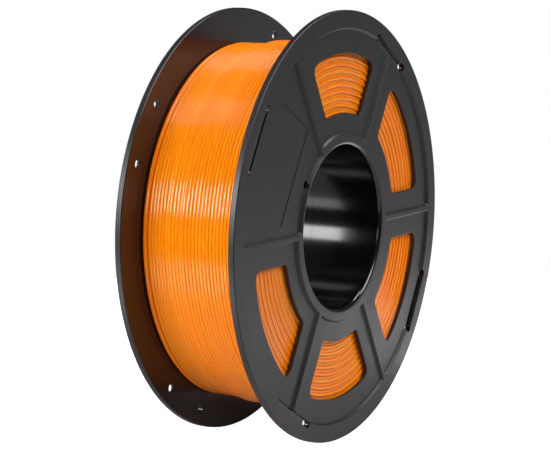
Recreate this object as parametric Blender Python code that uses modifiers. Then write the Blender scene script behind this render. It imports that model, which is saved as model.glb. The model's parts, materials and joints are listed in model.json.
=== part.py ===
"""Filament spool: two push-fit moulded halves and the strand wound between their flanges.

The spool's axis is Y, the near flange is at -Y and +Z is up. The origin is the middle of the spool, on its axis.
Each half is modelled about Z with its outer face up, then turned onto the axis.
"""

import math

import bmesh
import bpy
from mathutils import Matrix

# Spool
FLANGE_RADIUS = 0.100
SPOOL_WIDTH = 0.060
FLANGE_THICKNESS = 0.0030
FLANGE_EDGE_CHAMFER = 0.0004
BORE_RADIUS = 0.038
BORE_MOUTH_RADIUS = 0.0016
BARREL_RADIUS = 0.0404
STEPS = 72
ROLL = math.radians(-1.4)

# Push fit of the two barrels: the near half's spigot goes into the far half's socket
SEAM_Y = 0.0070
FIT_LENGTH = 0.0120
SPIGOT_RADIUS = 0.03905
SOCKET_RADIUS = 0.03935
TOUCH_GAP = 0.0003
SPIGOT_CHAMFER = 0.0005

# Sunk panels between the rim, the hub ring and the six ribs
PANEL_DEPTH = 0.0012
PANEL_FOOT = 0.0008
PANEL_OUTER_RADIUS = 0.0910
PANEL_INNER_RADIUS = 0.0443
BLANK_INNER_RADIUS = 0.0413
RIB_HALF_BASE = 0.0019
RIB_COUNT = 6
SECTOR_ANGLES = [math.radians(a) for a in (90, 30, -30, -90, -150)]
BLANK_ANGLE = math.radians(150)

# Windows through the five open sectors
WINDOW_OUTER_RADIUS = 0.0804
WINDOW_INNER_RADIUS = 0.0530
WINDOW_TO_RIB = 0.0109
WINDOW_OUTER_CORNER = 0.0060
WINDOW_INNER_CORNER = 0.0026
WINDOW_CHAMFER = 0.0004

# Label recess and strand holes
LABEL_LENGTH = 0.0485
LABEL_WIDTH = 0.0250
LABEL_INNER_SIDE = 0.0530
LABEL_DEPTH = 0.0005
START_HOLE_RADIUS = 0.00195
START_HOLE_FROM_AXIS = 0.0424
START_HOLE_ANGLE = math.radians(147.5)
CLIP_HOLE_RADIUS = 0.00195
CLIP_HOLE_FROM_AXIS = 0.0925
CLIP_HOLE_SPREAD = math.radians(9.2)
CLIP_ANGLES = [math.radians(a) for a in (60, -30, -120, 150)]
CLIP_SLOT_HALF_WIDTH = 0.0016
CLIP_SLOT_DEPTH = 0.0017

# Wound strand
STRAND_DIAMETER = 0.00175
WINDING_RADIUS = 0.0839
WINDING_SHOULDER = 0.0009
TOP_LAYER_END_Y = 0.0070

HALF_WIDTH = SPOOL_WIDTH / 2
INNER_FACE = HALF_WIDTH - FLANGE_THICKNESS
CUTTER_REACH = 0.0020
MERGE = 0.00001


def clear_scene():
    for obj in list(bpy.data.objects):
        bpy.data.objects.remove(obj, do_unlink=True)


def new_collection(name):
    made = bpy.data.collections.new(name)
    bpy.context.scene.collection.children.link(made)
    return made


def plain_material(name, colour, roughness):
    made = bpy.data.materials.new(name)
    made.use_nodes = True
    shader = made.node_tree.nodes["Principled BSDF"]
    shader.inputs["Base Color"].default_value = (*colour, 1.0)
    shader.inputs["Roughness"].default_value = roughness
    shader.inputs["Metallic"].default_value = 0.0
    return made


def arc(radius, start, end, count, centre=(0.0, 0.0)):
    """Points of a circular arc, both ends included."""
    angles = [start + (end - start) * i / (count - 1) for i in range(count)]
    return [(centre[0] + radius * math.cos(a), centre[1] + radius * math.sin(a)) for a in angles]


def turned_body(name, profile, collection):
    """A closed (radius, height) profile, running down its outer side, turned about Z.

    It starts half a step round, so that a flat of the rim, and not a corner, is lowest.
    """
    mesh = bpy.data.meshes.new(name)
    points = [(radius, 0.0, height) for radius, height in profile]
    edges = [(i, (i + 1) % len(points)) for i in range(len(points))]
    mesh.from_pydata(points, edges, [])
    mesh.transform(Matrix.Rotation(math.pi / STEPS, 4, "Z"))
    body = bpy.data.objects.new(name, mesh)
    collection.objects.link(body)
    screw = body.modifiers.new("turn", "SCREW")
    screw.angle = 2 * math.pi
    screw.steps = STEPS
    screw.render_steps = STEPS
    screw.use_merge_vertices = True
    screw.merge_threshold = MERGE
    return body


def prism(name, outline, low, high, flare, collection):
    """An upright solid on a flat outline, from low to high, whose lower rim is flared outwards by flare at 45 degrees."""
    curve = bpy.data.curves.new(name, "CURVE")
    curve.dimensions = "2D"
    curve.fill_mode = "BOTH"
    curve.extrude = (high - low) / 2 - flare
    curve.bevel_depth = flare
    curve.bevel_resolution = 0
    spline = curve.splines.new("POLY")
    spline.points.add(len(outline) - 1)
    for point, (x, y) in zip(spline.points, outline):
        point.co = (x, y, 0.0, 1.0)
    spline.use_cyclic_u = True
    source = bpy.data.objects.new(name, curve)
    source.location.z = (low + high) / 2
    collection.objects.link(source)
    bpy.context.view_layer.update()
    evaluated = source.evaluated_get(bpy.context.evaluated_depsgraph_get())
    mesh = bpy.data.meshes.new_from_object(evaluated)
    solid = bmesh.new()
    solid.from_mesh(mesh)
    bmesh.ops.remove_doubles(solid, verts=solid.verts, dist=MERGE)
    bmesh.ops.recalc_face_normals(solid, faces=solid.faces)
    solid.to_mesh(mesh)
    solid.free()
    place = source.matrix_world.copy()
    bpy.data.objects.remove(source)
    made = bpy.data.objects.new(name, mesh)
    made.matrix_world = place
    collection.objects.link(made)
    return made


def round_corners(corners, sizes, per_corner=4):
    """Replaces each marked corner of a point list by a smooth bend that starts size away from it on both sides."""
    points = []
    count = len(corners)
    for i, (corner, size) in enumerate(zip(corners, sizes)):
        if size == 0:
            points.append(corner)
            continue
        ends = []
        for other in (corners[i - 1], corners[(i + 1) % count]):
            length = math.dist(corner, other)
            ends.append(tuple(c + (o - c) * min(size / length, 1.0) for c, o in zip(corner, other)))
        for k in range(per_corner + 1):
            t = k / per_corner
            weights = ((1 - t) ** 2, 2 * t * (1 - t), t ** 2)
            trio = (ends[0], corner, ends[1])
            points.append(tuple(sum(w * p[axis] for w, p in zip(weights, trio)) for axis in (0, 1)))
    return points


def sector_outline(centre, inner, outer, to_rib, inner_corner, outer_corner, arc_points):
    """A sector's outline, counter-clockwise: its sides run parallel to the ribs, to_rib away from their middles."""
    half = math.pi / RIB_COUNT
    outer_half = half - math.asin(to_rib / outer)
    inner_half = half - math.asin(to_rib / inner)
    outer_cut = outer_corner / outer
    inner_cut = inner_corner / inner
    corners, sizes = [], []
    for radius, reach, cut, size, way in (
        (outer, outer_half, outer_cut, outer_corner, 1),
        (inner, inner_half, inner_cut, inner_corner, -1),
    ):
        middle = arc(radius, centre - way * (reach - cut), centre + way * (reach - cut), arc_points)
        ends = arc(radius, centre - way * reach, centre + way * reach, 2)
        if size:
            corners += [ends[0]] + middle + [ends[1]]
            sizes += [size] + [0] * arc_points + [size]
        else:
            corners += middle
            sizes += [0] * arc_points
    return round_corners(corners, sizes)


def disc_outline(radius, from_axis, angle, count=16):
    centre = (from_axis * math.cos(angle), from_axis * math.sin(angle))
    return arc(radius, 0, 2 * math.pi * (1 - 1 / count), count, centre)


def slot_outline(angle, cap_points=7):
    """The straight slot that joins a pair of clip holes."""
    ends = []
    for side in (-1, 1):
        at = angle + side * CLIP_HOLE_SPREAD
        ends.append((CLIP_HOLE_FROM_AXIS * math.cos(at), CLIP_HOLE_FROM_AXIS * math.sin(at)))
    along = math.atan2(ends[1][1] - ends[0][1], ends[1][0] - ends[0][0])
    quarter = math.pi / 2
    first = arc(CLIP_SLOT_HALF_WIDTH, along + quarter, along + 3 * quarter, cap_points, ends[0])
    second = arc(CLIP_SLOT_HALF_WIDTH, along - quarter, along + quarter, cap_points, ends[1])
    return first + second


def label_outline(angle):
    half_length = LABEL_LENGTH / 2
    inner, outer = LABEL_INNER_SIDE, LABEL_INNER_SIDE + LABEL_WIDTH
    corners = [(inner, -half_length), (outer, -half_length), (outer, half_length), (inner, half_length)]
    turn_cos, turn_sin = math.cos(angle), math.sin(angle)
    return [(x * turn_cos - y * turn_sin, x * turn_sin + y * turn_cos) for x, y in corners]


def flange_cutters(prefix, way, collection):
    """Every cutter of one flange. way is 1, or -1 for the flange whose pattern is the mirror image."""
    top = HALF_WIDTH + CUTTER_REACH
    bottom = INNER_FACE - CUTTER_REACH
    floor = HALF_WIDTH - PANEL_DEPTH

    def place(angle):
        return way * (angle + ROLL)

    for i, angle in enumerate(SECTOR_ANGLES):
        at = place(angle)
        panel = sector_outline(at, PANEL_INNER_RADIUS, PANEL_OUTER_RADIUS, RIB_HALF_BASE, 0, 0, 13)
        prism(f"{prefix}_panel_cutter_{i}", panel, floor, top, PANEL_FOOT, collection)
        window = sector_outline(at, WINDOW_INNER_RADIUS, WINDOW_OUTER_RADIUS, WINDOW_TO_RIB,
                                WINDOW_INNER_CORNER, WINDOW_OUTER_CORNER, 6)
        prism(f"{prefix}_window_cutter_{i}", window, bottom, top, 0.0, collection)
        prism(f"{prefix}_window_edge_cutter_{i}", window, floor - WINDOW_CHAMFER, floor + WINDOW_CHAMFER,
              WINDOW_CHAMFER, collection)

    at = place(BLANK_ANGLE)
    blank = sector_outline(at, BLANK_INNER_RADIUS, PANEL_OUTER_RADIUS, RIB_HALF_BASE, 0, 0, 13)
    prism(f"{prefix}_blank_panel_cutter", blank, floor, top, PANEL_FOOT, collection)
    prism(f"{prefix}_label_cutter", label_outline(at), floor - LABEL_DEPTH, top, 0.0, collection)
    start = disc_outline(START_HOLE_RADIUS, START_HOLE_FROM_AXIS, place(START_HOLE_ANGLE))
    prism(f"{prefix}_start_hole_cutter", start, bottom, top, 0.0, collection)

    for i, angle in enumerate(CLIP_ANGLES):
        at = place(angle)
        slot = slot_outline(at)
        prism(f"{prefix}_clip_slot_cutter_{i}", slot, HALF_WIDTH - CLIP_SLOT_DEPTH, top, 0.0, collection)
        for k, side in enumerate((-1, 1)):
            hole = disc_outline(CLIP_HOLE_RADIUS, CLIP_HOLE_FROM_AXIS, at + side * CLIP_HOLE_SPREAD)
            prism(f"{prefix}_clip_hole_cutter_{i}{k}", hole, bottom, top, 0.0, collection)


def flange_profile():
    """The flange's outer rim, from its outer face down to its inner face. Its flats' middles touch the true circle."""
    rim = FLANGE_RADIUS / math.cos(math.pi / STEPS)
    chamfer = FLANGE_EDGE_CHAMFER
    return [
        (rim - chamfer, HALF_WIDTH),
        (rim, HALF_WIDTH - chamfer),
        (rim, INNER_FACE + chamfer),
        (rim - chamfer, INNER_FACE),
        (BARREL_RADIUS, INNER_FACE),
    ]


def bore_mouth():
    """The rounded mouth of the bore, from the bore up to the outer face."""
    centre = (BORE_RADIUS + BORE_MOUTH_RADIUS, HALF_WIDTH - BORE_MOUTH_RADIUS)
    return arc(BORE_MOUTH_RADIUS, math.pi, math.pi / 2, 5, centre)


def spigot_profile():
    """The near half's barrel: full thickness to the shoulder, then the thinner spigot up to the seam."""
    shoulder = FIT_LENGTH - SEAM_Y + TOUCH_GAP
    tip = -SEAM_Y
    return [
        (BARREL_RADIUS, shoulder),
        (SPIGOT_RADIUS, shoulder),
        (SPIGOT_RADIUS, tip + SPIGOT_CHAMFER),
        (SPIGOT_RADIUS - SPIGOT_CHAMFER, tip),
        (BORE_RADIUS, tip),
    ]


def socket_profile():
    """The far half's barrel: the socket that goes over the spigot, and the shoulder that meets the spigot's end."""
    tip = SEAM_Y - FIT_LENGTH
    shoulder = SEAM_Y + TOUCH_GAP
    return [
        (BARREL_RADIUS, tip),
        (SOCKET_RADIUS, tip),
        (SOCKET_RADIUS, shoulder),
        (BORE_RADIUS, shoulder),
    ]


def moulded_half(name, way, barrel, material, parts, cutters):
    """One half: a turned flange and barrel, cut by the pattern of its outer face, then laid on the spool's axis."""
    half = turned_body(name, flange_profile() + barrel + bore_mouth(), parts)
    own_cutters = bpy.data.collections.new(name + "_cutters")
    cutters.children.link(own_cutters)
    flange_cutters(name, way, own_cutters)
    lay = Matrix.Rotation(way * math.pi / 2, 4, "X")
    for cutter in own_cutters.objects:
        cutter.matrix_world = lay @ cutter.matrix_world
        cutter.hide_render = True
        cutter.display_type = "WIRE"
    half.rotation_euler = (way * math.pi / 2, 0.0, 0.0)
    cut = half.modifiers.new("outer face", "BOOLEAN")
    cut.operation = "DIFFERENCE"
    cut.operand_type = "COLLECTION"
    cut.collection = own_cutters
    cut.solver = "EXACT"
    half.data.materials.append(material)
    return half


def wound_strand(name, material, parts):
    """The strand as one closed ring: a full-width winding, and a top layer that stops past the middle."""
    near_side = -(INNER_FACE - TOUCH_GAP)
    far_side = INNER_FACE - TOUCH_GAP
    root = BARREL_RADIUS / math.cos(math.pi / STEPS) + TOUCH_GAP
    crown = WINDING_RADIUS + STRAND_DIAMETER
    profile = [
        (root, far_side),
        (WINDING_RADIUS - WINDING_SHOULDER, far_side),
        (WINDING_RADIUS, far_side - WINDING_SHOULDER),
        (WINDING_RADIUS, TOP_LAYER_END_Y + STRAND_DIAMETER / 2),
        (crown, TOP_LAYER_END_Y - STRAND_DIAMETER / 2),
        (crown, near_side + WINDING_SHOULDER),
        (crown - WINDING_SHOULDER, near_side),
        (root, near_side),
    ]
    winding = turned_body(name, profile, parts)
    winding.rotation_euler = (-math.pi / 2, 0.0, 0.0)
    winding.data.materials.append(material)
    return winding


def shade_round(obj):
    """Bakes the object's modifiers into its mesh and shades its round faces smooth."""
    bpy.context.view_layer.update()
    evaluated = obj.evaluated_get(bpy.context.evaluated_depsgraph_get())
    mesh = bpy.data.meshes.new_from_object(evaluated)
    obj.modifiers.clear()
    obj.data = mesh
    mesh.shade_smooth()
    mesh.set_sharp_from_angle(angle=math.radians(30))


def main():
    clear_scene()
    parts = new_collection("filament_spool")
    cutters = new_collection("cutters")
    black = plain_material("black_moulding", (0.022, 0.021, 0.022), 0.38)
    orange = plain_material("orange_strand", (0.83, 0.20, 0.012), 0.30)
    near = moulded_half("near_half", 1, spigot_profile(), black, parts, cutters)
    far = moulded_half("far_half", -1, socket_profile(), black, parts, cutters)
    winding = wound_strand("filament_winding", orange, parts)
    for obj in (near, far, winding):
        shade_round(obj)


main()
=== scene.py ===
"""Filament spool, seen from the front left: two moulded black halves and a wound orange strand.

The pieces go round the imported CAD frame. Everything is in metres in the CAD's frame: the spool's
axis is Y, the near flange is at -Y and +Z is up.
"""

import json
import math

import bmesh
import bpy
import numpy as np
from mathutils import Matrix, Vector

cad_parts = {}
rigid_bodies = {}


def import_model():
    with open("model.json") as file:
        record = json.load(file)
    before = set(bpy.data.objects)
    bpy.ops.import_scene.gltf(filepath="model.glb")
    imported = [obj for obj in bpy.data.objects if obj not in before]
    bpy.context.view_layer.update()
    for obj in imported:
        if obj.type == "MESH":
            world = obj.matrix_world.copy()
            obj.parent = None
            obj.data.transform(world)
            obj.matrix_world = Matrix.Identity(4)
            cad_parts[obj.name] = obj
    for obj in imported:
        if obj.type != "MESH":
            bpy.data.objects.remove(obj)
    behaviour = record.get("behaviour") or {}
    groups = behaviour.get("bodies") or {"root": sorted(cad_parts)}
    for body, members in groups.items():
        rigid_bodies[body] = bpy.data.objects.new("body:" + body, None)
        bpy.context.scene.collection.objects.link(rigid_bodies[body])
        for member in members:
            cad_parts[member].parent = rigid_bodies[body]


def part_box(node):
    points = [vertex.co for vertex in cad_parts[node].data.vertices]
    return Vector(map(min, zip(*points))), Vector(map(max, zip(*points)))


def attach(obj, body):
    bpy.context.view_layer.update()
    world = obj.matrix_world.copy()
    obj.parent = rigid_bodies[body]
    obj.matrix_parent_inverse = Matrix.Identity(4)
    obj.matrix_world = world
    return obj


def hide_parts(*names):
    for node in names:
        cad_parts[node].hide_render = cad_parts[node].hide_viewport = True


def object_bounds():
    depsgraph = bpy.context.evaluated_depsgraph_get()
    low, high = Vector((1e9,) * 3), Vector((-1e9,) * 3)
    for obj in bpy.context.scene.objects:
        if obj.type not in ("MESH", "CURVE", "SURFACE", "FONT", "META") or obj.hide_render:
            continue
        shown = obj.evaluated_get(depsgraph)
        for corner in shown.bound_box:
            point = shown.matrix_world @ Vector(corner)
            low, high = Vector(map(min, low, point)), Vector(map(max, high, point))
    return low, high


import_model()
cad_low, cad_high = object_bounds()

MM = 0.001
TAU = 2 * math.pi

# The spool, from the frame's own boxes
FLANGE_RADIUS = cad_high.x
HALF_WIDTH = cad_high.y
winding_low, winding_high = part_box("filament_winding")
TOUCH_GAP = 0.3 * MM
INNER_FACE = winding_high.y + TOUCH_GAP

# Moulded halves
STEPS = 288
RIM_ROUND = 0.55 * MM
RIM_POINTS = 6
BORE_RADIUS = 38 * MM
MOUTH_ROUND = 2.0 * MM
MOUTH_POINTS = 9
MOUTH_POLISHED = 1.3 * MM
BARREL_RADIUS = 40.4 * MM
BARREL_EDGE = 0.2 * MM
SEAM_Y = 7 * MM
SEAM_GAP = 0.04 * MM
SEAM_EDGE = 0.05 * MM
FIT_LENGTH = 12 * MM
SPIGOT_RADIUS = 39.05 * MM
SPIGOT_EDGE = 0.5 * MM
SOCKET_RADIUS = 39.35 * MM
INNER_SKIN = 0.2 * MM
SHARP_ANGLE = math.radians(55)
NORMAL_WEIGHT = 60
MERGE = 1e-6
RADIUS_SLACK = 1e-5

# Pattern of the flanges
ROLL = math.radians(-1.4)
RIB_COUNT = 6
RIB_HALF_BASE = 1.9 * MM
SECTOR_ANGLES = [math.radians(a) for a in (90, 30, -30, -90, -150)]
BLANK_ANGLE = math.radians(150)
BLANK_INNER = 41.3 * MM
PANEL_DEPTH = 1.2 * MM
PANEL_OUTER = 91.0 * MM
PANEL_INNER = 44.3 * MM
PANEL_CORNER = 0.9 * MM
PANEL_ARC_POINTS = 49
PANEL_SLOPE = 0.8 * MM
PANEL_FOOT = 0.35 * MM
PANEL_LIP = 0.3 * MM
WINDOW_OUTER = 80.4 * MM
WINDOW_INNER = 53.0 * MM
WINDOW_TO_RIB = 10.9 * MM
WINDOW_OUTER_CORNER = 6 * MM
WINDOW_INNER_CORNER = 2.6 * MM
WINDOW_ARC_POINTS = 25
WINDOW_EDGE = 0.3 * MM
LABEL_SIZE = (25.0 * MM, 48.5 * MM)
LABEL_INNER_SIDE = 53.0 * MM
LABEL_DEPTH = 0.3 * MM
LABEL_CORNER = 1.0 * MM
LABEL_LIP = 0.15 * MM
HOLE_RADIUS = 1.95 * MM
HOLE_EDGE = 0.2 * MM
START_HOLE = (42.4 * MM, math.radians(147.5))
START_HOLE_EDGE = 0.04 * MM
CLIP_FROM_AXIS = 92.5 * MM
CLIP_SPREAD = math.radians(9.2)
CLIP_ANGLES = [math.radians(a) for a in (60, -30, -120, 150)]
SLOT_HALF_WIDTH = 1.6 * MM
SLOT_DEPTH = 1.7 * MM
SLOT_LIP = 0.25 * MM
SLOT_FOOT = 0.12 * MM
SLOT_ZONE = (PANEL_OUTER - 3 * MM, PANEL_OUTER + 5 * MM)
SLOT_FLOOR_DEPTHS = (1.25 * MM, SLOT_DEPTH + 0.05 * MM)
CUT_PAST = 2 * MM
THROUGH_CUT_PAST = 3 * MM

# Places of the plastics in a half's material list
SATIN_SLOT, INNER_SLOT, POLISHED_SLOT = 0, 1, 2

# Strand
STRAND = 1.75 * MM
PRESSED = 1.30
SIDE_TALL = 1.2
BASE_CENTRE_RADIUS = 83.9 * MM - STRAND / 2
TOP_LAYER_END_Y = 7 * MM
TURN_POINTS = 200
SECTION_POINTS = 10
STRAND_START = -math.pi / 2
STEP_MIDDLE = math.radians(150)
STEP_WIDTH = math.radians(14)
STEADY_SHARE = 0.35
JOIN_POINTS = 6
BASE_TURNS = 29
BASE_LAST_GAP = 0.8 * MM
BASE_SUNK = 0.12 * MM
BASE_STRAY = 0.07 * MM
TOP_TURNS = 18
TOP_LAST_TURN = 0.33
TOP_PITCH_STRAY = 0.012
TOP_STRAY = 0.05 * MM
TOP_SMOOTHING = 5
# turn of the top layer: where its gap is (radians), the gap's half width, its size in strands
TOP_GAPS = {
    3: (2.2, 0.9, 0.50),
    7: (1.3, 1.2, 0.85),
    8: (3.4, 1.0, 0.3),
    12: (2.6, 1.4, 0.75),
    15: (1.9, 0.8, 0.5),
}
SIDE_PITCH = 1.58 * MM
SIDE_FIRST = 42.0 * MM
SIDE_CLEARANCE = 1.45 * MM
SIDE_SUNK = 0.50 * MM
SIDE_STRAY = 0.10 * MM

# Unevenness of the strand for ripple(): waves round the spool, size, change from row to row
BASE_WANDER = ((1, 2, 3, 5), 0.24 * MM, 0.25)
BASE_SWELL = ((1, 2, 4, 7, 11), 0.12 * MM, 1.3)
TOP_SPREAD = ((2, 3, 5), 0.16 * MM, 0.0)
TOP_WANDER = ((1, 2, 4), 0.36 * MM, 0.14)
TOP_SWELL = ((2, 3, 5, 8, 13), 0.17 * MM, 1.3)
SIDE_PHASE = ((1, 2, 3), 1.3, 0.16)
SIDE_SWELL = ((2, 3, 5), 0.22 * MM, 1.0)
SIDE_WANDER = ((1, 2, 3, 5), 0.16 * MM, 0.3)

# Core under the strands
CORE_INSET = 0.9 * MM
CORE_SET_BACK = 1.5 * MM
CORE_STEPS = 144
CORE_SIDE_RIDGES = 26
CORE_CROWN_RIDGES = 30
RIDGE_HEIGHT = 0.35 * MM
RIDGE_POINTS = (0.0, 0.25, 0.5, 0.75)
CORE_TONE = 0.35

# Camera, as fitted to the photograph
CAMERA_AZIMUTH = math.radians(-60.45)
CAMERA_ELEVATION = math.radians(8.66)
CAMERA_DISTANCE = 0.8903
CAMERA_SHIFT = (0.00596, 0.00112)
CAMERA_LENS = 123.9
CAMERA_SENSOR = 36

# Softboxes: name, direction, distance, size, brightness
SOFTBOXES = [
    ("left", (-0.894, 0.325, 0.309), 1.2, (0.87, 0.34), 14.0),
    ("side", (-0.96, -0.10, 0.26), 1.2, (0.50, 0.30), 5.0),
    ("top_left", (-0.33, 0.0, 0.94), 1.1, (0.08, 0.36), 30.0),
    ("top_right", (0.42, -0.18, 0.89), 1.1, (0.20, 0.44), 13.0),
    ("front", (0.16, -0.74, 0.65), 1.3, (0.80, 0.60), 9.8),
    ("back", (0.10, 0.93, 0.36), 1.3, (0.70, 0.50), 4.0),
    ("right_card", (0.86, -0.49, -0.12), 1.3, (1.0, 0.5), 0.36),
]
# Lights lying near the floor that shine straight up, beside the spool
UPLIGHTS = [
    ("low_left", (-0.215, 0.125, -0.094), 0.266, (0.30, 0.15), 2.2),
    ("low_right", (0.285, 0.03, -0.094), 0.302, (0.34, 0.34), 1.5),
]
FILL_COLOUR = (1.0, 0.94, 0.98, 1)
FILL_STRENGTH = 0.10
FLOOR_GAP = 0.02 * MM
FLOOR_RINGS = (0.15, 0.28, 0.42)
FLOOR_POINTS = 64


# ---------------------------------------------------------------- mesh helpers

def link(obj):
    bpy.context.scene.collection.objects.link(obj)
    return obj


def mesh_object(name, points, faces):
    mesh = bpy.data.meshes.new(name)
    mesh.from_pydata([tuple(p) for p in points], [], faces)
    mesh.validate()
    return link(bpy.data.objects.new(name, mesh))


def face_outwards(mesh):
    work = bmesh.new()
    work.from_mesh(mesh)
    bmesh.ops.recalc_face_normals(work, faces=work.faces)
    work.to_mesh(mesh)
    work.free()


def write_tone(mesh, values):
    """The tone of each point, from 0 to 1, which the strand's material reads."""
    tone = mesh.attributes.new("tone", "FLOAT", "POINT")
    tone.data.foreach_set("value", values)


def arc(radius, start, end, count, centre=(0.0, 0.0)):
    """Points of a circular arc, both ends included."""
    angles = [start + (end - start) * i / (count - 1) for i in range(count)]
    return [(centre[0] + radius * math.cos(a), centre[1] + radius * math.sin(a)) for a in angles]


def turned_faces(profile, steps, closed):
    """A (radius, height) profile turned about Z: points and faces. If closed, it makes a ring."""
    points = []
    for step in range(steps):
        turn = TAU * (step + 0.5) / steps
        points += [(r * math.cos(turn), r * math.sin(turn), h) for r, h in profile]
    count = len(profile)
    spans = count if closed else count - 1
    faces = []
    for step in range(steps):
        here, there = step * count, (step + 1) % steps * count
        for i in range(spans):
            k = (i + 1) % count
            faces.append((here + i, there + i, there + k, here + k))
    return points, faces


def lofted_cutter(name, outline, levels):
    """A closed solid through outline(offset) at each (offset, height) of levels, lowest first."""
    points, faces = [], []
    count = len(outline(0.0))
    for offset, height in levels:
        points += [(x, y, height) for x, y in outline(offset)]
    for level in range(len(levels) - 1):
        base = level * count
        for i in range(count):
            k = (i + 1) % count
            faces.append((base + i, base + k, base + count + k, base + count + i))
    faces.append(tuple(range(count))[::-1])
    faces.append(tuple(range((len(levels) - 1) * count, len(levels) * count)))
    return mesh_object(name, points, faces)


def round_corners(corners, sizes, per_corner=6):
    """Gives each marked corner a smooth bend that starts size away from it on both sides."""
    points = []
    count = len(corners)
    for i, (corner, size) in enumerate(zip(corners, sizes)):
        if size == 0:
            points.append(corner)
            continue
        ends = []
        for other in (corners[i - 1], corners[(i + 1) % count]):
            length = math.dist(corner, other)
            ends.append(tuple(c + (o - c) * min(size / length, 1.0) for c, o in zip(corner, other)))
        for k in range(per_corner + 1):
            t = k / per_corner
            weights = ((1 - t) ** 2, 2 * t * (1 - t), t ** 2)
            trio = (ends[0], corner, ends[1])
            points.append(tuple(sum(w * p[axis] for w, p in zip(weights, trio)) for axis in (0, 1)))
    return points


def sector_outline(centre, inner, outer, to_rib, inner_corner, outer_corner, arc_points, offset):
    """A sector's outline grown by offset. Its sides run parallel to the ribs, to_rib from them."""
    inner, outer, to_rib = inner - offset, outer + offset, to_rib - offset
    half = math.pi / RIB_COUNT
    outer_half = half - math.asin(to_rib / outer)
    inner_half = half - math.asin(to_rib / inner)
    corners, sizes = [], []
    for radius, reach, size, way in ((outer, outer_half, outer_corner, 1),
                                     (inner, inner_half, inner_corner, -1)):
        cut = size / radius
        middle = arc(radius, centre - way * (reach - cut), centre + way * (reach - cut), arc_points)
        ends = arc(radius, centre - way * reach, centre + way * reach, 2)
        corners += [ends[0]] + middle + [ends[1]]
        sizes += [size] + [0] * arc_points + [size]
    return round_corners(corners, sizes)


def disc_outline(radius, from_axis, angle, offset, count=40):
    centre = (from_axis * math.cos(angle), from_axis * math.sin(angle))
    return arc(radius + offset, 0, TAU * (1 - 1 / count), count, centre)


def slot_outline(angle, offset, cap_points=14):
    """The straight slot that joins a pair of clip holes."""
    ends = []
    for side in (-1, 1):
        at = angle + side * CLIP_SPREAD
        ends.append((CLIP_FROM_AXIS * math.cos(at), CLIP_FROM_AXIS * math.sin(at)))
    along = math.atan2(ends[1][1] - ends[0][1], ends[1][0] - ends[0][0])
    quarter = math.pi / 2
    radius = SLOT_HALF_WIDTH + offset
    first = arc(radius, along + quarter, along + 3 * quarter, cap_points, ends[0])
    return first + arc(radius, along - quarter, along + quarter, cap_points, ends[1])


def label_outline(angle, offset):
    half = LABEL_SIZE[1] / 2 + offset
    inner, outer = LABEL_INNER_SIDE - offset, LABEL_INNER_SIDE + LABEL_SIZE[0] + offset
    corners = round_corners([(inner, -half), (outer, -half), (outer, half), (inner, half)],
                            [LABEL_CORNER] * 4)
    turn_cos, turn_sin = math.cos(angle), math.sin(angle)
    return [(x * turn_cos - y * turn_sin, x * turn_sin + y * turn_cos) for x, y in corners]


# ---------------------------------------------------------------- moulded halves

def wall_levels(floor, top, slope, foot, lip):
    """A sunk panel's wall as (offset, height): a hollow foot, a slope and a rounded upper edge."""
    depth = top - floor
    return [
        (-0.35 * foot, floor),
        (0.10 * foot, floor + 0.06 * foot),
        (0.40 * foot, floor + 0.22 * foot),
        (0.64 * foot, floor + 0.52 * foot),
        (slope * 0.76, floor + depth * 0.72),
        (slope * 0.90, top - 0.55 * lip),
        (slope * 1.00, top - 0.22 * lip),
        (slope * 1.00 + 0.40 * lip, top - 0.05 * lip),
        (slope * 1.00 + 0.90 * lip, top),
        (slope * 1.00 + 0.90 * lip, top + CUT_PAST),
    ]


def through_levels(bottom, top, edge):
    """The levels of a cut right through the flange, with both edges rounded."""
    return [
        (edge, bottom - CUT_PAST),
        (edge, bottom),
        (edge * 0.30, bottom + edge * 0.30),
        (0.0, bottom + edge),
        (0.0, top - edge),
        (edge * 0.30, top - edge * 0.30),
        (edge, top),
        (edge, top + THROUGH_CUT_PAST),
    ]


def sector_cutters(floor, top):
    """The six sunk panels and the five windows in them."""
    panel_wall = wall_levels(floor, top, PANEL_SLOPE, PANEL_FOOT, PANEL_LIP)
    window_wall = through_levels(INNER_FACE, floor, WINDOW_EDGE)
    made = []
    for i, angle in enumerate(SECTOR_ANGLES + [BLANK_ANGLE]):
        at = angle + ROLL
        inner = BLANK_INNER if angle == BLANK_ANGLE else PANEL_INNER
        made.append(lofted_cutter(
            f"cut_panel_{i}",
            lambda o: sector_outline(at, inner, PANEL_OUTER, RIB_HALF_BASE, PANEL_CORNER,
                                     PANEL_CORNER, PANEL_ARC_POINTS, o),
            panel_wall))
        if angle != BLANK_ANGLE:
            made.append(lofted_cutter(
                f"cut_window_{i}",
                lambda o: sector_outline(at, WINDOW_INNER, WINDOW_OUTER, WINDOW_TO_RIB,
                                         WINDOW_INNER_CORNER, WINDOW_OUTER_CORNER,
                                         WINDOW_ARC_POINTS, o),
                window_wall))
    return made


def blank_cutters(floor, top):
    """The recess of the panel without a window, and the hole for the strand's start."""
    at = BLANK_ANGLE + ROLL
    label_wall = [
        (0.0, floor - LABEL_DEPTH), (0.0, floor - LABEL_LIP), (0.05 * MM, floor - 0.04 * MM),
        (LABEL_LIP, floor), (LABEL_LIP, top + MM),
    ]
    label = lofted_cutter("cut_label", lambda o: label_outline(at, o), label_wall)
    start = lofted_cutter(
        "cut_start",
        lambda o: disc_outline(HOLE_RADIUS, START_HOLE[0], START_HOLE[1] + ROLL, o),
        through_levels(INNER_FACE, floor, START_HOLE_EDGE))
    return [label, start]


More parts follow.
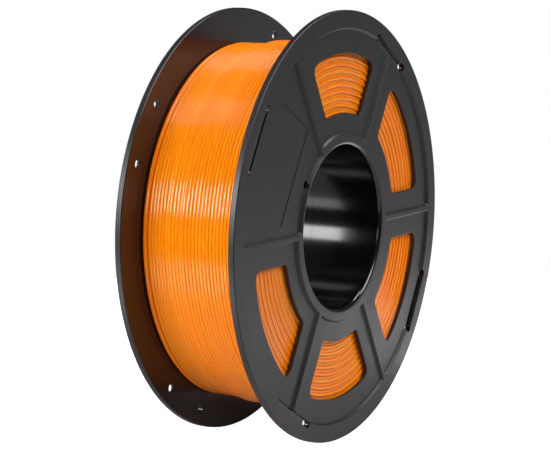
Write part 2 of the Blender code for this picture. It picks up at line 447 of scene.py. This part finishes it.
def clip_cutters(top):
    """The slots near the rim, with a hole at each end."""
    base = top - SLOT_DEPTH
    slot_wall = [
        (-SLOT_FOOT, base), (0.0, base + SLOT_FOOT), (0.0, top - SLOT_LIP),
        (0.07 * MM, top - 0.07 * MM), (SLOT_LIP, top), (SLOT_LIP, top + CUT_PAST),
    ]
    hole_wall = through_levels(INNER_FACE, top, HOLE_EDGE)
    made = []
    for i, angle in enumerate(CLIP_ANGLES):
        at = angle + ROLL
        made.append(lofted_cutter(f"cut_slot_{i}", lambda o: slot_outline(at, o), slot_wall))
        for side in (-1, 1):
            made.append(lofted_cutter(
                f"cut_clip_{i}_{side + 1}",
                lambda o: disc_outline(HOLE_RADIUS, CLIP_FROM_AXIS, at + side * CLIP_SPREAD, o),
                hole_wall))
    return made


def flange_cutters():
    """Every cutter of the near flange, modelled about Z with its outer face up."""
    top = HALF_WIDTH
    floor = top - PANEL_DEPTH
    return sector_cutters(floor, top) + blank_cutters(floor, top) + clip_cutters(top)


def cut_flange():
    """The near flange's mesh: a closed ring about Z without its barrel, with its pattern cut."""
    round_middle = FLANGE_RADIUS - RIM_ROUND
    outer_round = arc(RIM_ROUND, math.pi / 2, 0, RIM_POINTS,
                      (round_middle, HALF_WIDTH - RIM_ROUND))
    inner_round = arc(RIM_ROUND, 0, -math.pi / 2, RIM_POINTS,
                      (round_middle, INNER_FACE + RIM_ROUND))
    mouth = arc(MOUTH_ROUND, math.pi, math.pi / 2, MOUTH_POINTS,
                (BORE_RADIUS + MOUTH_ROUND, HALF_WIDTH - MOUTH_ROUND))
    inner_side = [(BARREL_RADIUS, INNER_FACE), (BORE_RADIUS, INNER_FACE)]
    profile = outer_round + inner_round + inner_side + mouth
    points, faces = turned_faces(profile, STEPS, closed=True)
    flange = mesh_object("flange", points, faces)
    face_outwards(flange.data)

    tools = bpy.data.collections.new("cutters")
    for cutter in flange_cutters():
        bpy.context.scene.collection.objects.unlink(cutter)
        tools.objects.link(cutter)
    cut = flange.modifiers.new("pattern", "BOOLEAN")
    cut.operation = "DIFFERENCE"
    cut.operand_type = "COLLECTION"
    cut.collection = tools
    cut.solver = "EXACT"
    bpy.context.view_layer.update()
    evaluated = flange.evaluated_get(bpy.context.evaluated_depsgraph_get())
    mesh = bpy.data.meshes.new_from_object(evaluated)
    bpy.data.objects.remove(flange)
    for cutter in list(tools.objects):
        bpy.data.objects.remove(cutter)
    bpy.data.collections.remove(tools)
    return mesh


def spigot():
    """The near half's barrel, from the flange round to the bore."""
    shoulder = FIT_LENGTH - SEAM_Y + TOUCH_GAP
    tip = -SEAM_Y
    return [
        (BARREL_RADIUS, INNER_FACE),
        (BARREL_RADIUS, shoulder + BARREL_EDGE),
        (BARREL_RADIUS - BARREL_EDGE, shoulder),
        (SPIGOT_RADIUS, shoulder),
        (SPIGOT_RADIUS, tip + SPIGOT_EDGE),
        (SPIGOT_RADIUS - SPIGOT_EDGE, tip),
        (BORE_RADIUS + SEAM_EDGE, tip),
        (BORE_RADIUS, tip + SEAM_EDGE),
        (BORE_RADIUS, INNER_FACE),
    ]


def socket():
    """The far half's barrel, whose socket goes over the spigot."""
    tip, shoulder = SEAM_Y - FIT_LENGTH, SEAM_Y + SEAM_GAP
    return [
        (BARREL_RADIUS, INNER_FACE),
        (BARREL_RADIUS, tip + BARREL_EDGE),
        (BARREL_RADIUS - BARREL_EDGE, tip),
        (SOCKET_RADIUS + BARREL_EDGE, tip),
        (SOCKET_RADIUS, tip + BARREL_EDGE),
        (SOCKET_RADIUS, shoulder),
        (BORE_RADIUS + SEAM_EDGE, shoulder),
        (BORE_RADIUS, shoulder + SEAM_EDGE),
        (BORE_RADIUS, INNER_FACE),
    ]


def plastic_at(middle):
    """Which plastic a face has: polished in the bore and on the slots' floors, or moulded."""
    radius = math.hypot(middle.x, middle.z)
    depth = abs(middle.y)
    in_bore = radius < BORE_RADIUS + MOUTH_POLISHED
    by_slots = SLOT_ZONE[0] < radius < SLOT_ZONE[1]
    on_slot_floor = SLOT_FLOOR_DEPTHS[0] < HALF_WIDTH - depth < SLOT_FLOOR_DEPTHS[1]
    if in_bore or (by_slots and on_slot_floor):
        return POLISHED_SLOT
    if depth < INNER_FACE + INNER_SKIN:
        return INNER_SLOT
    return SATIN_SLOT


def swap_ring_for_barrel(work, barrel):
    """Opens the flange where the barrel meets it, and joins the barrel on there."""
    ring = [f for f in work.faces
            if all(abs(v.co.z - INNER_FACE) < MERGE
                   and math.hypot(v.co.x, v.co.y) < BARREL_RADIUS + RADIUS_SLACK
                   for v in f.verts)]
    bmesh.ops.delete(work, geom=ring, context="FACES")
    points, faces = turned_faces(barrel, STEPS, closed=False)
    made = [work.verts.new(p) for p in points]
    for face in faces:
        work.faces.new([made[i] for i in face])
    bmesh.ops.remove_doubles(work, verts=work.verts, dist=MERGE)
    bmesh.ops.recalc_face_normals(work, faces=work.faces)


def moulded_half(name, flange_mesh, barrel, way, materials):
    """The flange and its barrel as one closed mesh. way is 1 for the near half, -1 for the far."""
    work = bmesh.new()
    work.from_mesh(flange_mesh)
    swap_ring_for_barrel(work, barrel)
    work.transform(Matrix.Rotation(math.pi / 2, 4, "X"))
    if way < 0:
        work.transform(Matrix.Scale(-1, 4, (0, 1, 0)))
        bmesh.ops.reverse_faces(work, faces=work.faces)
    for face in work.faces:
        face.material_index = plastic_at(face.calc_center_median())
        face.smooth = True
    mesh = bpy.data.meshes.new(name)
    work.to_mesh(mesh)
    work.free()
    mesh.set_sharp_from_angle(angle=SHARP_ANGLE)
    half = link(bpy.data.objects.new(name, mesh))
    for material in materials:
        mesh.materials.append(material)
    weighted = half.modifiers.new("normals", "WEIGHTED_NORMAL")
    weighted.keep_sharp = True
    weighted.weight = NORMAL_WEIGHT
    return half


# ---------------------------------------------------------------- strand

def ripple(rng, angles, rows, waves, size, drift):
    """Smooth waviness round the spool for each row, close to that of the rows beside it."""
    total = np.zeros((rows, len(angles)))
    for wave in waves:
        phase = rng.uniform(0, TAU) + np.cumsum(rng.normal(0, drift, rows))
        wavy = np.sin(wave * angles[None, :] + phase[:, None])
        total += wavy * rng.uniform(0.5, 1.0) / math.sqrt(wave)
    return size * total / math.sqrt(len(waves))


def bump_round(angles, middle, half_width):
    """A smooth 0 to 1 bump round the spool."""
    away = np.abs((angles - middle + math.pi) % TAU - math.pi)
    return np.where(away < half_width, 0.5 + 0.5 * np.cos(math.pi * away / half_width), 0.0)


def smooth_ring(values, reach):
    """A moving average round the spool."""
    kernel = np.hanning(2 * reach + 3)[1:-1]
    kernel /= kernel.sum()
    padded = np.concatenate([values[..., -reach:], values, values[..., :reach]], axis=-1)
    return np.apply_along_axis(lambda row: np.convolve(row, kernel, "valid"), -1, padded)


def tube_data(angles, radius, along, closed, wide=1.0, tall=1.0):
    """Points and quads of a strand whose middle runs at radius and along, arrays like angles."""
    section = np.arange(SECTION_POINTS) / SECTION_POINTS * TAU
    out = radius[:, None] + tall * STRAND / 2 * np.cos(section)[None, :]
    side = along[:, None] + wide * STRAND / 2 * np.sin(section)[None, :]
    x, z = out * np.cos(angles)[:, None], out * np.sin(angles)[:, None]
    points = np.stack([x, side, z], axis=-1).reshape(-1, 3)
    count = len(angles)
    last = count if closed else count - 1
    i = np.arange(last)[:, None]
    k = np.arange(SECTION_POINTS)[None, :]
    here, there = i * SECTION_POINTS, (i + 1) % count * SECTION_POINTS
    right = (k + 1) % SECTION_POINTS
    quads = np.stack([here + k, here + right, there + right, there + k], axis=-1).reshape(-1, 4)
    return points, quads


def build_strands(name, tubes, material):
    """One object out of (points, quads, closed, tone) strands; open ones get capped ends."""
    all_points, all_quads, tones, caps = [], [], [], []
    offset = 0
    for points, quads, closed, tone in tubes:
        end = offset + len(points)
        rings = len(points) // SECTION_POINTS
        all_points.append(points)
        all_quads.append(quads + offset)
        tones.append(np.broadcast_to(tone, (rings,)).repeat(SECTION_POINTS))
        if not closed:
            caps.append(tuple(range(offset + SECTION_POINTS - 1, offset - 1, -1)))
            caps.append(tuple(range(end - SECTION_POINTS, end)))
        offset = end
    mesh = bpy.data.meshes.new(name)
    faces = np.concatenate(all_quads).tolist() + caps
    mesh.from_pydata(np.concatenate(all_points).tolist(), [], faces)
    write_tone(mesh, np.concatenate(tones).astype(np.float32))
    mesh.shade_smooth()
    mesh.materials.append(material)
    face_outwards(mesh)
    return link(bpy.data.objects.new(name, mesh))


def step_over(angles, middle, width, share):
    """How far a turn has moved on to the next row: partly steadily, the rest in a step."""
    steady = angles / TAU
    step = 1 / (1 + np.exp(-(angles - middle) / width))
    step = (step - step[0]) / (step[-1] - step[0])
    return share * steady + (1 - share) * step


def base_layer(rng, travel, moved, edge):
    """Where each turn of the full base layer runs: along the axis, and from the axis."""
    rows = np.linspace(-edge, edge - STRAND - BASE_LAST_GAP, BASE_TURNS)[:, None]
    rows = rows * np.ones(TURN_POINTS)
    rows = np.concatenate([rows, np.full((1, TURN_POINTS), edge)])
    rows += ripple(rng, travel, BASE_TURNS + 1, *BASE_WANDER)
    rows = np.clip(rows, -edge, edge)
    along = rows[:-1] * (1 - moved) + rows[1:] * moved
    radius = BASE_CENTRE_RADIUS + ripple(rng, travel, BASE_TURNS, *BASE_SWELL)
    radius += rng.normal(0, BASE_STRAY, BASE_TURNS)[:, None] - BASE_SUNK
    return along, radius


def top_layer(rng, travel, moved, edge, base_y, base_r):
    """Where each turn of the unfinished top layer runs, riding on the base layer."""
    rows = [np.full(TURN_POINTS, -edge)]
    for turn in range(TOP_TURNS):
        step = STRAND * (1.0 + TOP_PITCH_STRAY * rng.normal()) * np.ones(TURN_POINTS)
        step += np.abs(ripple(rng, travel, 1, *TOP_SPREAD)[0])
        if turn in TOP_GAPS:
            middle, half, amount = TOP_GAPS[turn]
            step += bump_round(travel, middle, half) * amount * STRAND
        rows.append(rows[-1] + step)
    rows = np.array(rows)
    reach = (TOP_LAYER_END_Y + edge) / (rows[-1] + edge)
    rows = -edge + (rows + edge) * np.minimum(reach, 1.0)
    rows += ripple(rng, travel, len(rows), *TOP_WANDER)
    rows = np.clip(rows, -edge, edge)
    along = rows[:-1] * (1 - moved) + rows[1:] * moved
    nearest = np.min(np.abs(along[:, None, :] - base_y[None, :, :]), axis=1)
    rise = np.sqrt(np.maximum(STRAND ** 2 - np.minimum(nearest, STRAND / 2) ** 2, 0))
    radius = smooth_ring(base_r.mean(axis=0)[None, :] + rise, TOP_SMOOTHING)
    radius += rng.normal(0, TOP_STRAY, len(radius))[:, None]
    radius += ripple(rng, travel, len(radius), *TOP_SWELL)
    return along, radius


def joined_turns(rng, rows_y, rows_r, last_turn):
    """A layer's turns as one strand, each led smoothly into the next. The last may be partial."""
    line_y, line_r = rows_y.reshape(-1), rows_r.reshape(-1)
    turns = len(rows_y)
    t = np.linspace(0, 1, 2 * JOIN_POINTS)
    for turn in range(1, turns):
        cut = turn * TURN_POINTS
        before, after = cut - JOIN_POINTS, cut + JOIN_POINTS
        line_r[before:after] = line_r[before] * (1 - t) + line_r[after] * t
    keep = int((turns - 1 + last_turn) * TURN_POINTS)
    travelled = np.arange(keep) / TURN_POINTS
    shades = rng.uniform(0, 1, turns + 2)
    tone = np.interp(travelled, np.arange(turns + 1), (shades[:-1] + shades[1:]) / 2)
    points, quads = tube_data(STRAND_START + travelled * TAU, line_r[:keep], line_y[:keep],
                              closed=False, wide=PRESSED)
    return points, quads, False, tone


def outer_layers(rng):
    """The full base layer and the unfinished top layer, each one strand wound side by side."""
    travel = np.arange(TURN_POINTS) / TURN_POINTS * TAU
    moved = step_over(travel, STEP_MIDDLE, STEP_WIDTH, STEADY_SHARE)
    edge = INNER_FACE - TOUCH_GAP - PRESSED * STRAND / 2
    base_y, base_r = base_layer(rng, travel, moved, edge)
    top_y, top_r = top_layer(rng, travel, moved, edge, base_y, base_r)
    return [joined_turns(rng, base_y, base_r, 1.0),
            joined_turns(rng, top_y, top_r, TOP_LAST_TURN)]


def side_rows(rng, way):
    """The inner layers' end turns, stacked against one flange, every other one sunk a little."""
    angles = np.arange(TURN_POINTS) / TURN_POINTS * TAU
    count = int((BASE_CENTRE_RADIUS - SIDE_CLEARANCE - SIDE_FIRST) / SIDE_PITCH) + 1
    numbers = np.arange(count)[:, None]
    edge = INNER_FACE - TOUCH_GAP - STRAND / 2
    phase = ripple(rng, angles, count, *SIDE_PHASE)
    alternate = 0.5 + 0.5 * np.cos(math.pi * numbers + phase)
    sunk = SIDE_SUNK * alternate + SIDE_STRAY * rng.uniform(0, 1, count)[:, None]
    sunk += np.abs(ripple(rng, angles, count, *SIDE_SWELL))
    radius = SIDE_FIRST + SIDE_PITCH * numbers
    radius = radius + ripple(rng, angles, count, *SIDE_WANDER)
    along = edge - sunk
    tubes = []
    for row in range(count):
        points, quads = tube_data(angles, radius[row], way * along[row], closed=True,
                                  tall=SIDE_TALL)
        tubes.append((points, quads, True, rng.uniform(0, 1)))
    return tubes


def core_body(name, material):
    """The close-packed turns under the outer ones: a ring whose faces have the strands' ridges."""
    inner, outer = BARREL_RADIUS + TOUCH_GAP, BASE_CENTRE_RADIUS - CORE_INSET
    flat = INNER_FACE - CORE_SET_BACK
    pitch = (outer - inner) / CORE_SIDE_RIDGES
    drops = [RIDGE_HEIGHT * (1 - math.sin(math.pi * t)) for t in RIDGE_POINTS]
    side = [(inner + pitch * (i + t), flat - drop)
            for i in range(CORE_SIDE_RIDGES) for t, drop in zip(RIDGE_POINTS, drops)]
    crown = [(outer - drop, flat - 2 * flat * (i + t) / CORE_CROWN_RIDGES)
             for i in range(CORE_CROWN_RIDGES) for t, drop in zip(RIDGE_POINTS, drops)]
    other_side = [(r, -h) for r, h in reversed(side)]
    points, faces = turned_faces(side + crown + other_side, CORE_STEPS, closed=True)
    points = [(x, h, z) for x, z, h in points]
    core = mesh_object(name, points, faces)
    face_outwards(core.data)
    write_tone(core.data, np.full(len(core.data.vertices), CORE_TONE, np.float32))
    core.data.shade_smooth()
    core.data.materials.append(material)
    return core


# ---------------------------------------------------------------- materials

def new_material(name):
    made = bpy.data.materials.new(name)
    made.use_nodes = True
    return made, made.node_tree.nodes, made.node_tree.links, made.node_tree.nodes["Principled BSDF"]


def add(nodes, kind, **settings):
    node = nodes.new(kind)
    for key, value in settings.items():
        if key in node.inputs:
            node.inputs[key].default_value = value
        else:
            setattr(node, key, value)
    return node


def ramp(nodes, stops):
    node = nodes.new("ShaderNodeValToRGB")
    elements = node.color_ramp.elements
    while len(elements) > 1:
        elements.remove(elements[-1])
    elements[0].position, elements[0].color = stops[0][0], (*stops[0][1], 1)
    for at, colour in stops[1:]:
        elements.new(at).color = (*colour, 1)
    return node


def noise(nodes, links, place, scale, detail, roughness):
    node = add(nodes, "ShaderNodeTexNoise", Scale=scale, Detail=detail, Roughness=roughness)
    links.new(place.outputs["Object"], node.inputs["Vector"])
    return node.outputs["Fac"]


def calculate(nodes, links, operation, source, value):
    """A Math node between a linked source and a number."""
    node = add(nodes, "ShaderNodeMath", operation=operation)
    node.inputs[1].default_value = value
    links.new(source, node.inputs[0])
    return node


def rescale(nodes, links, source, from_range, to_range):
    node = add(nodes, "ShaderNodeMapRange")
    for key, value in zip(("From Min", "From Max", "To Min", "To Max"), from_range + to_range):
        node.inputs[key].default_value = value
    links.new(source, node.inputs["Value"])
    return node.outputs["Result"]


def colour_from(nodes, links, source, stops, shader):
    tint = ramp(nodes, stops)
    links.new(source, tint.inputs["Fac"])
    links.new(tint.outputs["Color"], shader.inputs["Base Color"])


def relief_from(nodes, links, source, strength, distance, shader):
    relief = add(nodes, "ShaderNodeBump", Strength=strength, Distance=distance)
    links.new(source, relief.inputs["Height"])
    links.new(relief.outputs["Normal"], shader.inputs["Normal"])


def black_plastic(name, roughness, spread, grain, base=(0.0088, 0.0077, 0.0090)):
    """Moulded black plastic with a fine grain, an uneven gloss and a slightly uneven tone."""
    made, nodes, links, shader = new_material(name)
    place = add(nodes, "ShaderNodeTexCoord")
    cloud = noise(nodes, links, place, 55.0, 4.0, 0.55)
    dark, light = tuple(c * 0.86 for c in base), tuple(c * 1.14 for c in base)
    colour_from(nodes, links, cloud, [(0.30, dark), (0.70, light)], shader)
    gloss = rescale(nodes, links, cloud, (0.30, 0.70), (roughness - spread, roughness + spread))
    links.new(gloss, shader.inputs["Roughness"])
    fine = noise(nodes, links, place, 3200.0, 2.0, 0.6)
    relief_from(nodes, links, fine, grain, 0.02 * MM, shader)
    shader.inputs["IOR"].default_value = 1.5
    return made


def orange_plastic(name):
    """Glossy orange strand. Tone and gloss differ from turn to turn, and light goes in a little."""
    made, nodes, links, shader = new_material(name)
    place = add(nodes, "ShaderNodeTexCoord")
    tone = add(nodes, "ShaderNodeAttribute", attribute_name="tone").outputs["Fac"]
    streak = noise(nodes, links, place, 38.0, 3.0, 0.6)
    half_streak = calculate(nodes, links, "MULTIPLY", streak, 0.5)
    mixed = calculate(nodes, links, "MULTIPLY_ADD", tone, 0.5)
    links.new(half_streak.outputs[0], mixed.inputs[2])
    stops = [(0.12, (0.88, 0.180, 0.002)), (0.50, (0.93, 0.212, 0.002)),
             (0.88, (0.97, 0.245, 0.003))]
    colour_from(nodes, links, mixed.outputs[0], stops, shader)
    swing = calculate(nodes, links, "MULTIPLY", tone, 5.0)
    gloss = calculate(nodes, links, "PINGPONG", swing.outputs[0], 1.0)
    dull = rescale(nodes, links, gloss.outputs[0], (0.10, 0.75), (0.07, 0.17))
    links.new(dull, shader.inputs["Roughness"])
    fine = noise(nodes, links, place, 900.0, 2.0, 0.5)
    relief_from(nodes, links, fine, 0.15, 0.03 * MM, shader)
    shader.inputs["IOR"].default_value = 1.38
    shader.inputs["Subsurface Weight"].default_value = 0.9
    shader.inputs["Subsurface Radius"].default_value = (1.0, 0.45, 0.10)
    shader.inputs["Subsurface Scale"].default_value = 0.002
    return made


# ---------------------------------------------------------------- camera, light and floor

def place_camera():
    """The camera stands 0.89 m away at the front left, a little above the axis."""
    a, e = CAMERA_AZIMUTH, CAMERA_ELEVATION
    right = Vector((math.cos(a), math.sin(a), 0))
    up = Vector((-math.sin(a) * math.sin(e), math.cos(a) * math.sin(e), math.cos(e)))
    back = Vector((math.sin(a) * math.cos(e), -math.cos(a) * math.cos(e), math.sin(e)))
    data = bpy.data.cameras.new("camera")
    data.sensor_width = CAMERA_SENSOR
    data.lens = CAMERA_LENS
    data.clip_start, data.clip_end = 0.05, 50
    camera = link(bpy.data.objects.new("camera", data))
    at = back * CAMERA_DISTANCE - right * CAMERA_SHIFT[0] - up * CAMERA_SHIFT[1]
    turn = Matrix((right, up, back)).transposed().to_4x4()
    camera.matrix_world = Matrix.Translation(at) @ turn
    bpy.context.scene.camera = camera


def softbox(name, direction, distance, size, brightness, aim=(0, 0, 0)):
    """A rectangular light at distance along direction, facing aim. A brightness of 1 is white."""
    data = bpy.data.lights.new(name, "AREA")
    data.shape = "RECTANGLE"
    data.size, data.size_y = size
    data.energy = brightness * math.pi * size[0] * size[1]
    light = link(bpy.data.objects.new(name, data))
    at = Vector(direction).normalized() * distance
    light.location = at
    light.rotation_euler = (Vector(aim) - at).to_track_quat("-Z", "Y").to_euler()


def light_studio():
    scene = bpy.context.scene
    scene.view_settings.view_transform = "Standard"
    scene.view_settings.look = "None"
    world = bpy.data.worlds.new("studio")
    scene.world = world
    world.use_nodes = True
    nodes, links = world.node_tree.nodes, world.node_tree.links
    seen = nodes["Background"]
    seen.inputs["Color"].default_value = (1, 1, 1, 1)
    seen.inputs["Strength"].default_value = 1.0
    fill = add(nodes, "ShaderNodeBackground")
    fill.inputs["Color"].default_value = FILL_COLOUR
    fill.inputs["Strength"].default_value = FILL_STRENGTH
    path = add(nodes, "ShaderNodeLightPath")
    either = add(nodes, "ShaderNodeMixShader")
    links.new(path.outputs["Is Camera Ray"], either.inputs["Fac"])
    links.new(fill.outputs[0], either.inputs[1])
    links.new(seen.outputs[0], either.inputs[2])
    links.new(either.outputs[0], nodes["World Output"].inputs["Surface"])

    for box in SOFTBOXES:
        softbox(*box)
    for box in UPLIGHTS:
        x, y, _ = box[1]
        softbox(*box, aim=(x, y, 1.0))


def lay_floor():
    """Pale rings under the spool, which the camera sees as white."""
    low = cad_low.z - FLOOR_GAP
    count = FLOOR_POINTS
    points, faces = [(0, 0, low)], []
    for radius in FLOOR_RINGS:
        for i in range(count):
            turn = TAU * i / count
            points.append((radius * math.cos(turn), radius * math.sin(turn), low))
    for i in range(count):
        k = (i + 1) % count
        faces.append((0, 1 + i, 1 + k))
        for ring in range(len(FLOOR_RINGS) - 1):
            a, b = 1 + ring * count, 1 + (ring + 1) * count
            faces.append((a + i, b + i, b + k, a + k))
    floor = mesh_object("floor", points, faces)
    made, nodes, links, shader = new_material("pale_floor")
    place = add(nodes, "ShaderNodeTexCoord")
    cloud = noise(nodes, links, place, 3.0, 2.0, 0.5)
    colour_from(nodes, links, cloud, [(0.3, (0.54,) * 3), (0.7, (0.57,) * 3)], shader)
    shader.inputs["Roughness"].default_value = 0.8
    shader.inputs["Specular IOR Level"].default_value = 0.1
    path = add(nodes, "ShaderNodeLightPath")
    links.new(path.outputs["Is Camera Ray"], shader.inputs["Emission Strength"])
    shader.inputs["Emission Color"].default_value = (1, 1, 1, 1)
    floor.data.materials.append(made)


# ---------------------------------------------------------------- the model

place_camera()
light_studio()
lay_floor()

satin = black_plastic("black_satin", 0.42, 0.05, 0.35)
inner = black_plastic("black_inner_face", 0.22, 0.03, 0.10, base=(0.0070, 0.0062, 0.0070))
polished = black_plastic("black_polished_bore", 0.15, 0.02, 0.015, base=(0.003, 0.003, 0.0033))
orange = orange_plastic("orange_filament")

flange_mesh = cut_flange()
near = moulded_half("near_half_moulding", flange_mesh, spigot(), 1, (satin, inner, polished))
far = moulded_half("far_half_moulding", flange_mesh, socket(), -1, (satin, inner, polished))
bpy.data.meshes.remove(flange_mesh)
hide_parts("near_half")
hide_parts("far_half")
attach(near, "near_side")
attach(far, "far_side")

rng = np.random.default_rng(11)
outer_strand = build_strands("filament_outer_layers", outer_layers(rng), orange)
near_rows = build_strands("filament_near_side_turns", side_rows(rng, -1), orange)
far_rows = build_strands("filament_far_side_turns", side_rows(rng, 1), orange)
core = core_body("filament_inner_layers", orange)
for piece in (outer_strand, near_rows, far_rows, core):
    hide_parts("filament_winding")
    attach(piece, "near_side")
